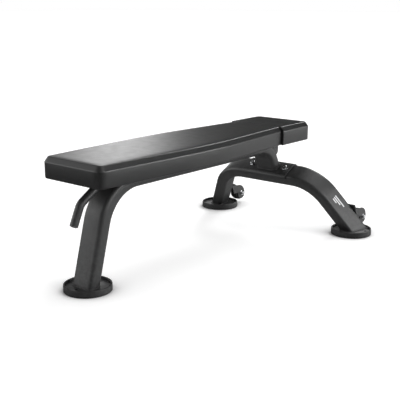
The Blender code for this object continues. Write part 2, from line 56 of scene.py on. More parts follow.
# ---- the frame's own places and sizes, metres ----------------------------------------------------
FRONT = middle("foot_rubber_front")
BENCH = Matrix.Translation((0.0, FRONT.y, 0.0))           # bench coordinates start at the front foot
FOOT_SIZE = (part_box("foot_rubber_front")[1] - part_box("foot_rubber_front")[0]) / 2
FOOT_R, FOOT_H = FOOT_SIZE.x, 2 * FOOT_SIZE.z
DISC_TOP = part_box("foot_plate_front")[1].z
GAP = 0.0003                                              # air between pieces that only touch
SPINE_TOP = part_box("spine_tube")[1].z
SPINE_W, SPINE_D = 0.091, 0.049
SPINE_Z = SPINE_TOP - SPINE_D / 2
POST_BASE_Y, POST_LEAN, POST_BEND_R, NECK_BEND_R = -0.0115, math.radians(15.3), 0.1635, 0.102
ARCH_W, ARCH_D, ARCH_LEAN, ARCH_Y = 0.092, 0.050, math.radians(26.28), 1.1484
ARCH_TOP, ARCH_FLAT, ARCH_BEND_R, ARCH_LEG = 0.2517, 0.1279, 0.1547, math.radians(60.5)
ARCH_CORNER = ARCH_FLAT + ARCH_BEND_R * math.tan(ARCH_LEG / 2)
TUBE_CORNER = 0.0145
SADDLE_T, SADDLE_HALF, SADDLE_TIP_HALF, SADDLE_LOW = 0.0045, 0.108, 0.0865, 0.2420
SADDLE_TOP = ARCH_TOP + ARCH_D / 2 + GAP + SADDLE_T
SADDLE_BOLT_X = 0.081
PAD_LOW, PAD_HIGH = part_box("pad_cushion")
SLEEVE_LOW, SLEEVE_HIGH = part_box("pad_sleeve")
PAD_STATIONS = ((-0.0575, 0.1375), (0.3631, 0.1605), (0.5360, 0.1600), (0.9288, 0.1230), (1.1190, 0.1230))
SLEEVE_STATIONS = ((0.9288, 0.1345), (1.1272, 0.1345))    # (bench Y, half width)
PAD_SHOULDER, PAD_CHAMFER, PAD_CORNER = 0.4228, 0.0125, 0.027
POCKET_INSET, PAD_POCKET_TOP, SLEEVE_POCKET_TOP = 0.0127, 0.3853, 0.3720
HANDLE_R = 0.0140
AXLE = {side: middle("wheel_tyre_" + side) for side in ("right", "left")}
ARCH = BENCH @ Matrix.Translation((0.0, ARCH_Y, 0.0)) @ Matrix.Rotation(ARCH_LEAN, 4, "X")

scene = bpy.context.scene


# ---- materials -----------------------------------------------------------------------------------
class Look:
    """A Principled material and short ways to drive its sockets from noise in object space."""

    def __init__(self, name, roughness, metallic=0.0, **constants):
        self.material = bpy.data.materials.new(name)
        self.material.use_nodes = True
        self.nodes = self.material.node_tree.nodes
        self.links = self.material.node_tree.links
        self.shader = self.nodes["Principled BSDF"]
        self.shader.inputs["Roughness"].default_value = roughness
        self.shader.inputs["Metallic"].default_value = metallic
        for socket, value in constants.items():
            self.shader.inputs[socket.replace("_", " ")].default_value = value
        self.place = self.nodes.new("ShaderNodeTexCoord").outputs["Object"]

    def node(self, kind, inputs=(), **settings):
        made = self.nodes.new(kind)
        for key, value in settings.items():
            setattr(made, key, value)
        for key, value in dict(inputs).items():
            if isinstance(value, bpy.types.NodeSocket):
                self.links.new(value, made.inputs[key])
            else:
                made.inputs[key].default_value = value
        return made

    def noise(self, scale, detail=3.0, rough=0.55, stretch=None, distortion=0.0):
        place = self.place
        if stretch:
            place = self.node("ShaderNodeMapping", {"Vector": place, "Scale": stretch}).outputs[0]
        return self.node("ShaderNodeTexNoise", {"Vector": place, "Scale": scale, "Detail": detail,
                                                "Roughness": rough, "Distortion": distortion}).outputs["Fac"]

    def spread(self, source, low, high, from_low=0.3, from_high=0.7):
        made = self.node("ShaderNodeMapRange", {"Value": source, "From Min": from_low, "From Max": from_high,
                                                "To Min": low, "To Max": high})
        return made.outputs["Result"]

    def mix(self, factor, first, second):
        made = self.node("ShaderNodeMix", {"Factor": factor}, data_type="RGBA")
        for socket, value in ((made.inputs[6], first), (made.inputs[7], second)):
            if isinstance(value, bpy.types.NodeSocket):
                self.links.new(value, socket)
            else:
                socket.default_value = (*value, 1.0)
        return made.outputs[2]

    def colour(self, source):
        self.links.new(source, self.shader.inputs["Base Color"])

    def roughness(self, source):
        self.links.new(source, self.shader.inputs["Roughness"])

    def bump(self, *layers):
        """Bump layers of (height socket, strength, distance in metres), coarse to fine."""
        normal = None
        for height, strength, distance in layers:
            made = self.node("ShaderNodeBump", {"Height": height, "Strength": strength, "Distance": distance})
            if normal:
                self.links.new(normal, made.inputs["Normal"])
            normal = made.outputs["Normal"]
        self.links.new(normal, self.shader.inputs["Normal"])

    def worn_edges(self, base, worn, amount):
        """Lighter colour where the surface turns outwards sharply, broken up by noise."""
        edge = self.node("ShaderNodeNewGeometry").outputs["Pointiness"]
        edge = self.spread(edge, 0.0, amount, 0.53, 0.62)
        patch = self.spread(self.noise(90.0, 4.0), 0.0, 1.0, 0.42, 0.62)
        factor = self.node("ShaderNodeMath", {0: edge, 1: patch}, operation="MULTIPLY").outputs[0]
        return self.mix(factor, base, worn)


def powder_coat():
    look = Look("powder_coat_black", 0.42, Specular_IOR_Level=0.5)
    mottled = look.mix(look.spread(look.noise(22.0), 0.0, 1.0), (0.0195, 0.0198, 0.0200), (0.0255, 0.0258, 0.0260))
    look.colour(look.worn_edges(mottled, (0.085, 0.086, 0.088), 0.5))
    look.roughness(look.spread(look.noise(60.0, 4.0), 0.37, 0.47))
    look.bump((look.noise(420.0, 2.0), 0.10, 0.0006), (look.noise(2600.0, 2.0), 0.16, 0.0003))
    return look.material


def vinyl(name, tint):
    """Fine pressed leather grain: rounded cells with creases between them, over soft waves."""
    look = Look(name, 0.34, Specular_IOR_Level=0.5)
    cells = look.node("ShaderNodeTexVoronoi", {"Vector": look.place, "Scale": 950.0, "Randomness": 1.0},
                      feature="SMOOTH_F1").outputs["Distance"]
    fine = look.noise(2400.0, 2.0)
    soft = look.noise(9.0, 2.0, stretch=(1.0, 0.45, 1.0))
    dark, light = (tuple(c * f for c in tint) for f in (0.85, 1.25))
    look.colour(look.mix(look.spread(cells, 0.0, 1.0, 0.05, 0.75), light, dark))
    look.roughness(look.spread(look.noise(34.0, 4.0), 0.32, 0.37))
    look.bump((soft, 0.04, 0.0008), (cells, 0.05, 0.0003), (fine, 0.04, 0.0002))
    return look.material


def rubber():
    look = Look("foot_rubber_black", 0.6, Specular_IOR_Level=0.42)
    dusty = look.spread(look.noise(55.0, 5.0), 0.0, 1.0, 0.45, 0.75)
    look.colour(look.mix(dusty, (0.0170, 0.0170, 0.0175), (0.0300, 0.0300, 0.0295)))
    look.roughness(look.spread(look.noise(120.0, 4.0), 0.52, 0.66))
    look.bump((look.noise(700.0, 3.0), 0.18, 0.0004), (look.noise(90.0, 2.0), 0.08, 0.0008))
    return look.material


def plated_steel():
    look = Look("plated_steel_bright", 0.16, 1.0)
    look.colour(look.mix(look.spread(look.noise(160.0, 3.0), 0.0, 1.0), (0.78, 0.79, 0.80), (0.66, 0.67, 0.685)))
    look.roughness(look.spread(look.noise(300.0, 4.0, stretch=(1.0, 1.0, 6.0)), 0.10, 0.24))
    look.bump((look.noise(900.0, 3.0, stretch=(1.0, 1.0, 5.0)), 0.05, 0.0003))
    return look.material


def nylon():
    look = Look("nylon_black", 0.5, Specular_IOR_Level=0.5)
    look.colour(look.mix(look.spread(look.noise(70.0), 0.0, 1.0), (0.024, 0.024, 0.025), (0.036, 0.036, 0.037)))
    look.roughness(look.spread(look.noise(240.0, 4.0), 0.42, 0.56))
    look.bump((look.noise(1500.0, 2.0), 0.12, 0.0003))
    return look.material


def plywood():
    look = Look("plywood_black_stain", 0.7)
    grain = look.noise(16.0, 6.0, 0.6, stretch=(9.0, 0.7, 9.0), distortion=0.4)
    layers = look.node("ShaderNodeTexWave", {"Vector": look.place, "Scale": 105.0, "Distortion": 0.6, "Detail": 2.0},
                       wave_type="BANDS", bands_direction="Z").outputs["Fac"]
    stained = look.mix(look.spread(grain, 0.0, 1.0), (0.018, 0.016, 0.014), (0.050, 0.043, 0.036))
    look.colour(look.mix(look.spread(layers, 0.0, 0.35, 0.2, 0.8), stained, (0.010, 0.009, 0.008)))
    look.roughness(look.spread(grain, 0.62, 0.8))
    look.bump((grain, 0.25, 0.0008))
    return look.material


def printed_mark():
    look = Look("print_light_grey", 0.48)
    worn = look.spread(look.noise(380.0, 5.0, 0.7), 0.0, 1.0, 0.60, 0.72)
    look.colour(look.mix(worn, (0.62, 0.63, 0.64), (0.30, 0.305, 0.31)))
    look.roughness(look.spread(look.noise(200.0), 0.42, 0.55))
    look.bump((look.noise(1400.0, 2.0), 0.10, 0.0002))
    return look.material


def pale_floor():
    """Pale matt floor that glows a little, with a painted contact shadow: the glow is dimmed where something stands
    close over it.
    """
    look = Look("floor_pale", 0.75, Specular_IOR_Level=0.2, Emission_Color=(1.0, 1.0, 1.0, 1.0))
    cloudy = look.spread(look.noise(1.3, 4.0), 0.0, 1.0)
    look.colour(look.mix(cloudy, (0.885, 0.885, 0.885), (0.905, 0.905, 0.905)))
    look.bump((look.noise(140.0, 3.0), 0.05, 0.0010))
    # painted contact shadow: ambient occlusion cuts the floor's glow where something stands close over it
    painted_shadow_ao = look.node("ShaderNodeAmbientOcclusion", {"Distance": 0.10}, samples=8).outputs["AO"]
    look.links.new(look.spread(painted_shadow_ao, -0.12, 0.40, 0.4, 1.0), look.shader.inputs["Emission Strength"])
    return look.material


POWDER, RUBBER, STEEL, NYLON = powder_coat(), rubber(), plated_steel(), nylon()
VINYL = vinyl("vinyl_black", (0.0125, 0.0127, 0.0128))
SLEEVE_VINYL = vinyl("vinyl_black_sleeve", (0.0100, 0.0102, 0.0103))
PLYWOOD, PRINT = plywood(), printed_mark()


# ---- mesh helpers --------------------------------------------------------------------------------
def finish_mesh(name, bm, sharp=38.0):
    bm.normal_update()
    bmesh.ops.recalc_face_normals(bm, faces=bm.faces)
    mesh = bpy.data.meshes.new(name)
    bm.to_mesh(mesh)
    bm.free()
    mesh.shade_smooth()
    if sharp:
        mesh.set_sharp_from_angle(angle=math.radians(sharp))
    return mesh


def piece(name, mesh, material, nodes=(), body="frame", place=Matrix.Identity(4)):
    """One visible piece riding on its body and standing for its CAD nodes."""
    made = bpy.data.objects.new(name, mesh)
    scene.collection.objects.link(made)
    if not mesh.materials:
        mesh.materials.append(material)
    made.matrix_world = place
    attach(made, body)
    if nodes:
        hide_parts(*nodes)
    return made


def helper(name, mesh, place=Matrix.Identity(4)):
    """A hidden solid for a Boolean step; removed once the step is applied."""
    made = bpy.data.objects.new(name, mesh)
    scene.collection.objects.link(made)
    made.matrix_world = place
    return made


def combined(name, base, steps, sharp=30.0):
    """Mesh of base after exact Boolean steps of (operation, mesh, place)."""
    first = helper(name, base)
    others = []
    for index, (operation, mesh, place) in enumerate(steps):
        other = helper("%s_step_%d" % (name, index), mesh, place)
        step = first.modifiers.new("step_%d" % index, "BOOLEAN")
        step.object, step.operation, step.solver = other, operation, "EXACT"
        others.append(other)
    bpy.context.view_layer.update()
    graph = bpy.context.evaluated_depsgraph_get()
    mesh = bpy.data.meshes.new_from_object(first.evaluated_get(graph))
    mesh.name = name
    for used in [first] + others:
        bpy.data.objects.remove(used)
    mesh.shade_smooth()
    mesh.set_sharp_from_angle(angle=math.radians(sharp))
    return mesh


def soften(made, width, segments=2, angle=32.0):
    """Small rounding of an object's hard edges, with shading that keeps its flats flat."""
    step = made.modifiers.new("round_edges", "BEVEL")
    step.width, step.segments = width, segments
    step.limit_method, step.angle_limit = "ANGLE", math.radians(angle)
    step.harden_normals = True
    return made


def rounded_rect(w, d, r, steps=8):
    points = []
    for cx, cy, start in ((1, 1, 0), (-1, 1, 90), (-1, -1, 180), (1, -1, 270)):
        for i in range(steps + 1):
            a = math.radians(start + 90 * i / steps)
            points.append((cx * (w / 2 - r) + r * math.cos(a), cy * (d / 2 - r) + r * math.sin(a)))
    return points


def circle(radius, count=32):
    return [(radius * math.cos(i * math.tau / count), radius * math.sin(i * math.tau / count)) for i in range(count)]


def filleted(points, radii, spacing=0.006):
    """Plane polyline with rounded corners, as a list of (point, direction)."""
    pts = [Vector(p) for p in points]
    line = [(pts[0], (pts[1] - pts[0]).normalized())]
    for i, radius in enumerate(radii, start=1):
        u = (pts[i] - pts[i - 1]).normalized()
        v = (pts[i + 1] - pts[i]).normalized()
        turn = math.atan2(u.x * v.y - u.y * v.x, u.dot(v))
        start = pts[i] - u * radius * math.tan(abs(turn) / 2)
        centre = start + Vector((-u.y, u.x)) * math.copysign(radius, turn)
        steps = max(4, round(abs(turn) * radius / spacing))
        for k in range(steps + 1):
            spin = Matrix.Rotation(turn * k / steps, 2)
            line.append((centre + spin @ (start - centre), spin @ u))
    return line + [(pts[-1], (pts[-1] - pts[-2]).normalized())]


def swept(name, line, section, lift, mitre=()):
    """Closed tube of a section along a plane line; ends named in mitre are cut level with the foot discs.

    lift(across, point) puts a plane point and the distance across the plane into world space.
    Returns the mesh and its two end rings."""
    rings = []
    for point, way in line:
        side = Vector((-way.y, way.x))
        rings.append([lift(a, point + side * b) for a, b in section])
    for end, inner in ((0, 1), (-1, -2)):
        if end in mitre:
            for k, (outer, near) in enumerate(zip(rings[end], rings[inner])):
                along = outer - near
                rings[end][k] = near + along * (DISC_TOP - near.z) / along.z
    bm = bmesh.new()
    rows = [[bm.verts.new(p) for p in ring] for ring in rings]
    for low, high in zip(rows, rows[1:]):
        for k in range(len(section)):
            j = (k + 1) % len(section)
            bm.faces.new((low[k], low[j], high[j], high[k]))
    bm.faces.new(rows[0])
    bm.faces.new(reversed(rows[-1]))
    return finish_mesh(name, bm), rings[0], rings[-1]


def turned(name, profile, steps=72, place=Matrix.Identity(4), ring=False, sharp=38.0):
    """Mesh of an (r, z) profile spun round Z."""
    bm = bmesh.new()
    verts = [bm.verts.new((r, 0.0, z)) for r, z in profile]
    edges = [bm.edges.new(pair) for pair in zip(verts, verts[1:])]
    if ring:
        edges.append(bm.edges.new((verts[-1], verts[0])))
    bmesh.ops.spin(bm, geom=verts + edges, cent=(0, 0, 0), axis=(0, 0, 1), angle=math.tau, steps=steps,
                   use_merge=True)
    bmesh.ops.remove_doubles(bm, verts=bm.verts, dist=0.00002)
    bm.transform(place)
    return finish_mesh(name, bm, sharp)


def rounded_profile(points, radius, steps=3):
    """Closed (r, z) profile with each corner cut to a small arc."""
    out = []
    count = len(points)
    for i, corner in enumerate(points):
        corner = Vector(corner)
        before = (Vector(points[i - 1]) - corner)
        after = (Vector(points[(i + 1) % count]) - corner)
        cut = min(radius, before.length * 0.45, after.length * 0.45)
        start, end = corner + before.normalized() * cut, corner + after.normalized() * cut
        for k in range(steps + 1):
            t = k / steps
            out.append(tuple(start * (1 - t) ** 2 + corner * 2 * t * (1 - t) + end * t ** 2))
    return out


def prism(name, outline, depth, place, sharp=38.0):
    """Plan outline carried up by depth, then placed."""
    bm = bmesh.new()
    face = bm.faces.new([bm.verts.new((x, y, 0.0)) for x, y in outline])
    grown = bmesh.ops.extrude_face_region(bm, geom=[face])
    top = [v for v in grown["geom"] if isinstance(v, bmesh.types.BMVert)]
    bmesh.ops.translate(bm, verts=top, vec=(0.0, 0.0, depth))
    bm.transform(place)
    return finish_mesh(name, bm, sharp)


def cylinder(name, radius, low, high, place, segments=40):
    return prism(name, circle(radius, segments), high - low, place @ Matrix.Translation((0.0, 0.0, low)))


def resampled(loop, spacing):
    """Closed loop of points at even spacing."""
    loop = list(loop) + [loop[0]]
    lengths = [0.0]
    for a, b in zip(loop, loop[1:]):
        lengths.append(lengths[-1] + (b - a).length)
    count = max(12, round(lengths[-1] / spacing))
    out, k = [], 0
    for i in range(count):
        target = lengths[-1] * i / count
        while lengths[k + 1] < target:
            k += 1
        t = (target - lengths[k]) / max(lengths[k + 1] - lengths[k], 1e-9)
        out.append(loop[k].lerp(loop[k + 1], t))
    return out


WELD_SIDES, RIPPLE_STEPS = 10, 4


def weld_bead(name, loop, up, size=0.0034, pitch=0.0034):
    """Fillet weld along a closed loop: overlapping ripples with a slightly uneven width."""
    loop = resampled(loop, pitch / RIPPLE_STEPS)
    centre = sum(loop, Vector()) / len(loop)
    up = Vector(up).normalized()
    bm = bmesh.new()
    rows = []
    for i, point in enumerate(loop):
        along = (loop[(i + 1) % len(loop)] - loop[i - 1]).normalized()
        out = along.cross(up).normalized()
        if out.dot(point - centre) < 0:
            out = -out
        ripple = abs(math.sin(math.pi * i / RIPPLE_STEPS))
        radius = size * (0.86 + 0.14 * ripple + 0.07 * noise.noise(point * 90))
        rows.append([bm.verts.new(point + (out * math.cos(a) + up * math.sin(a)) * radius)
                     for a in (k * math.tau / WELD_SIDES for k in range(WELD_SIDES))])
    for a, b in zip(rows, rows[1:] + rows[:1]):
        for k in range(WELD_SIDES):
            j = (k + 1) % WELD_SIDES
            bm.faces.new((a[k], a[j], b[j], b[k]))
    return piece(name, finish_mesh(name, bm, 0.0), POWDER)


# ---- spine and arch tubes ------------------------------------------------------------------------
def in_spine(across, point):
    return BENCH @ Vector((across, point.x, point.y))


def in_arch(across, point):
    return ARCH @ Vector((point.x, across, point.y))


neck_end = SADDLE_TOP * math.cos(ARCH_LEAN) + 0.0004
spine_points = ((POST_BASE_Y, 0.0), (POST_BASE_Y + SPINE_Z * math.tan(POST_LEAN), SPINE_Z),
                (ARCH_Y - SPINE_Z * math.tan(ARCH_LEAN), SPINE_Z),
                (ARCH_Y - neck_end * math.tan(ARCH_LEAN), neck_end))
spine_line = filleted(spine_points, (POST_BEND_R, NECK_BEND_R))
spine_mesh, post_ring, neck_ring = swept("spine_tube_skin", spine_line, rounded_rect(SPINE_W, SPINE_D, TUBE_CORNER),
                                         in_spine, mitre=(0,))
piece("spine_tube_skin", spine_mesh, POWDER, ["spine_tube"])
weld_bead("weld_post", post_ring, (0, 0, 1))
weld_bead("weld_neck", neck_ring, ARCH.to_3x3() @ Vector((0, 0, 1)), 0.0040, 0.0038)

reach = ARCH_CORNER + ARCH_TOP / math.tan(ARCH_LEG)
arch_points = ((-reach, 0.0), (-ARCH_CORNER, ARCH_TOP), (ARCH_CORNER, ARCH_TOP), (reach, 0.0))
arch_line = filleted(arch_points, (ARCH_BEND_R, ARCH_BEND_R))
arch_mesh, left_ring, right_ring = swept("rear_arch_skin", arch_line, rounded_rect(ARCH_W, ARCH_D, TUBE_CORNER),
                                         in_arch, mitre=(0, -1))
piece("rear_arch_skin", arch_mesh, POWDER, ["rear_arch_tube"])
weld_bead("weld_leg_left", left_ring, (0, 0, 1))
weld_bead("weld_leg_right", right_ring, (0, 0, 1))


# ---- feet ----------------------------------------------------------------------------------------
CUP_BORE, DISC_BORE = 0.0062, 0.0058
GRIP_GROOVES = (0.066, 0.054, 0.042, 0.030)


def make_foot(side, hole):
    """Rubber cup with a rolled rim, a side groove and grip grooves below, and the steel disc in it."""
    spot = middle("foot_rubber_" + side)
    spot.z = 0.0
    place = Matrix.Translation(spot)
    rim, floor, top = FOOT_R - 0.0065, 0.0072, FOOT_H
    cup = [(0.0, floor), (rim, floor),
           (rim, top - 0.0022), (rim + 0.0005, top - 0.0009), (rim + 0.0016, top - 0.0001), (rim + 0.0028, top),
           (FOOT_R - 0.0019, top - 0.0001), (FOOT_R - 0.0007, top - 0.0008), (FOOT_R - 0.0001, top - 0.0022),
           (FOOT_R, top - 0.0040), (FOOT_R, 0.0058), (FOOT_R - 0.0009, 0.0052), (FOOT_R - 0.0009, 0.0044),
           (FOOT_R, 0.0038), (FOOT_R, 0.0014), (FOOT_R - 0.0006, 0.0004), (FOOT_R - 0.0016, 0.0)]
    for groove in GRIP_GROOVES:
        cup += [(groove + 0.0016, 0.0), (groove + 0.0011, 0.0013),
                (groove - 0.0011, 0.0013), (groove - 0.0016, 0.0)]
    cup.append((0.0, 0.0))
    edge, disc_low = rim - GAP, floor + GAP
    disc = [(0.0, DISC_TOP), (edge - 0.0014, DISC_TOP), (edge - 0.0004, DISC_TOP - 0.0004),
            (edge, DISC_TOP - 0.0014), (edge, disc_low), (0.0, disc_low)]
    bore_place = Matrix.Translation(spot + Vector((*hole, 0.0)))
    for kind, node, profile, radius, material, slot in (
            ("foot_cup", "foot_rubber_", cup, CUP_BORE, RUBBER, "rubber"),
            ("foot_disc", "foot_plate_", disc, DISC_BORE, POWDER, "powder_coat")):
        name = "%s_%s" % (kind, side)
        bore = cylinder("bore", radius, -0.01, 0.04, bore_place)
        mesh = combined(name, turned(kind, profile, 96, place), [("DIFFERENCE", bore, Matrix())])
        piece(name, mesh, material, [node + side])


make_foot("front", (0.0, -0.051))
make_foot("right", (0.0565, 0.016))
make_foot("left", (-0.0565, 0.016))


# ---- saddle plate --------------------------------------------------------------------------------
LIP_START, LIP_CUT = 0.72, 0.0060                         # where the lip corners start, and how far they cut in


def make_saddle():
    """Plate folded over the crown, tapering to its lips, with rounded lip corners."""
    top = ARCH_TOP + ARCH_D / 2 + GAP + SADDLE_T / 2
    half_w = ARCH_W / 2 + GAP + SADDLE_T / 2
    bend = TUBE_CORNER + SADDLE_T / 2
    shoulder = top - bend
    fold = [(-half_w, SADDLE_LOW + (shoulder - SADDLE_LOW) * i / 5) for i in range(5)]
    for sign, start in ((-1, 180), (1, 90)):
        for i in range(11):
            a = math.radians(start - 90 * i / 10)
            fold.append((sign * (half_w - bend) + bend * math.cos(a), shoulder + bend * math.sin(a)))
    fold += [(half_w, SADDLE_LOW + (shoulder - SADDLE_LOW) * i / 5) for i in range(4, -1, -1)]
    bm = bmesh.new()
    columns, rows = 36, []
    for w, s in fold:
        drop = max(0.0, shoulder - s) / (shoulder - SADDLE_LOW)
        half = SADDLE_HALF + (SADDLE_TIP_HALF - SADDLE_HALF) * drop
        lip = max(0.0, drop - LIP_START) / (1.0 - LIP_START)
        half -= LIP_CUT * (1.0 - math.sqrt(max(0.0, 1.0 - lip * lip)))
        rows.append([bm.verts.new(ARCH @ Vector((half * (2 * i / columns - 1), w, s)))
                     for i in range(columns + 1)])
    for a, b in zip(rows, rows[1:]):
        for i in range(columns):
            bm.faces.new((a[i], a[i + 1], b[i + 1], b[i]))
    made = piece("saddle_plate_skin", finish_mesh("saddle_plate_skin", bm, 0.0), POWDER,
                 ["saddle_plate"])
    wall = made.modifiers.new("wall", "SOLIDIFY")
    wall.thickness, wall.offset, wall.use_even_offset = SADDLE_T, 0.0, True
    return soften(made, 0.0011, 3, 50.0)


make_saddle()


# ---- fasteners -----------------------------------------------------------------------------------
M12 = {"flat": 0.019, "head": 0.0078, "radius": 0.0060}    # bolt sizes: across flats, head height, rod
M10 = {"flat": 0.016, "head": 0.0064, "radius": 0.0050}
HEX_TURN, BORE_TURN = 1.7, 2.3                            # degrees that keep corners and bore off the cone's facets


def hex_solid(name, flat, height, place=Matrix.Identity(4)):
    """Hexagon with the round chamfer that turning leaves on a bolt head."""
    corner = flat / 2 / math.cos(math.pi / 6)
    turns = [math.radians(60 * i + HEX_TURN) for i in range(6)]
    outline = [(corner * math.cos(a), corner * math.sin(a)) for a in turns]
    bar = prism(name, outline, height + 0.0005, Matrix.Identity(4), 20.0)
    profile = [(0.0, -0.001), (corner * 1.2, -0.001), (corner * 1.2, height * 0.55),
               (corner * 1.02, height - 0.0016), (flat * 0.475, height), (0.0, height)]
    cone = turned(name + "_cone", profile, 72, sharp=20.0)
    mesh = combined(name, bar, [("INTERSECT", cone, Matrix())], 18.0)
    mesh.transform(place)
    return mesh


def threaded(radius, low, high, pitch=0.00125, ridge=0.00055):
    """Profile of a rod with thread ridges and a chamfered point, from its tip at low up to high."""
    points = [(0.0, low), (radius - 0.0012, low)]
    z = low + 0.001
    while z + pitch < high:
        points += [(radius - ridge, z), (radius, z + pitch / 2)]
        z += pitch
    return points + [(radius - 0.0003, high)]


def bolt(name, place, size, length, node, thread=0.018):
    """Head above z = 0 of place, shank below it with a threaded end."""
    radius = size["radius"]
    profile = threaded(radius, -length, -length + thread)
    profile += [(radius, -length + thread + 0.0004), (radius, 0.0002), (0.0, 0.0002)]
    shank = turned(name, profile, 40)
    mesh = combined(name, hex_solid(name + "_head", size["flat"], size["head"]), [("UNION", shank, Matrix())], 25.0)
    mesh.transform(place)
    return piece(name, mesh, STEEL, [node])


def nut(name, place, flat, depth, bore, node):
    """Nut above z = 0 of place."""
    hole = cylinder(name + "_bore", bore, -0.01, depth + 0.01, Matrix.Rotation(math.radians(BORE_TURN), 4, "Z"))
    mesh = combined(name, hex_solid(name, flat, depth), [("DIFFERENCE", hole, Matrix())], 18.0)
    mesh.transform(place)
    return piece(name, mesh, STEEL, [node])


def washer(name, place, bore, rim, depth, node):
    profile = rounded_profile([(bore, 0.0), (rim, 0.0), (rim, depth), (bore, depth)], 0.0005)
    return piece(name, turned(name, profile, 48, place, ring=True), STEEL, [node])


seat, under = SADDLE_TOP + GAP, ARCH_TOP - ARCH_D / 2 - GAP
M12_WASHER, M12_NUT, M12_NUT_BORE = 0.0022, 0.0100, 0.0061  # washer thickness, nut height and bore
for side, x in (("right", SADDLE_BOLT_X), ("left", -SADDLE_BOLT_X)):
    def on_arch(s, side_x=x):
        return ARCH @ Matrix.Translation((side_x, 0.0, s))
    for label, at, node in (("crown", seat, "top"), ("below", under - M12_WASHER, "under")):
        washer("saddle_washer_%s_%s" % (label, side), on_arch(at), 0.0064, 0.0125, M12_WASHER,
               "saddle_washer_%s_%s" % (node, side))
    bolt("saddle_bolt_hex_" + side, on_arch(seat + M12_WASHER + GAP), M12,
         seat + M12_WASHER + GAP - under + 0.0165, "saddle_bolt_" + side)
    nut("saddle_nut_hex_" + side, on_arch(under - M12_WASHER - GAP - M12_NUT), M12["flat"], M12_NUT, M12_NUT_BORE,
        "saddle_nut_" + side)

belly = SPINE_TOP - SPINE_D - GAP
PAD_WASHER, PAD_BOLT_LENGTH = 0.0020, 0.0625
for label, y in (("front", 0.300), ("rear", 0.800)):
    spot = BENCH @ Matrix.Translation((0.0, y, belly - PAD_WASHER))
    washer("pad_washer_ring_" + label, spot, 0.0054, 0.0110, PAD_WASHER, "pad_washer_" + label)
    bolt("pad_bolt_hex_" + label, spot @ Matrix.Translation((0, 0, -GAP)) @ Matrix.Rotation(math.pi, 4, "X"), M10,
         PAD_BOLT_LENGTH, "pad_bolt_" + label)


# ---- lift handle, its plug and the two pad mounts ------------------------------------------------
handle_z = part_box("lift_handle")[1].z - HANDLE_R
handle_corners = ((0.1000, handle_z), (0.0687, handle_z), (-0.0185, 0.2950), (-0.0500, 0.2270))
handle_line = filleted(handle_corners, (0.034, 0.045), 0.002)
handle_mesh = swept("lift_handle_bar", handle_line, circle(HANDLE_R, 40), in_spine)[0]
piece("lift_handle_bar", handle_mesh, POWDER, ["lift_handle"])
tip, way = handle_line[-1]
plug_place = BENCH @ Matrix.Translation((0.0, tip.x, tip.y)) @ Matrix.Rotation(math.atan2(-way.x, way.y), 4, "X")
plug = [(0.0, 0.0028), (0.0050, 0.0028), (0.0080, 0.0026), (0.0100, 0.0020), (0.0111, 0.0012),
        (0.0114, GAP), (0.0, GAP)]
piece("handle_plug_cap", turned("handle_plug_cap", plug, 40, plug_place), NYLON, ["handle_plug"])

for node in ("front_pad_plate", "rear_pad_bracket"):
    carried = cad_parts[node]
    carried.data.materials.clear()
    carried.data.materials.append(POWDER)
    soften(carried, 0.0008, 2, 40.0)


# ---- pad and sleeve ------------------------------------------------------------------------------
def half_width(y, stations):
    for (y0, w0), (y1, w1) in zip(stations, stations[1:]):
        if y <= y1:
            return w0 + (w1 - w0) * (y - y0) / (y1 - y0)
    return stations[-1][1]


def eased_half(y, stations, reach=0.045):
    """Half width averaged over a short stretch, so that the tapers run into each other."""
    low, high = stations[0][0], stations[-1][0]
    near = min(reach, y - low, high - y)
    if near <= 0:
        return half_width(y, stations)
    return sum(half_width(y + near * k / 6, stations) for k in range(-6, 7)) / 13


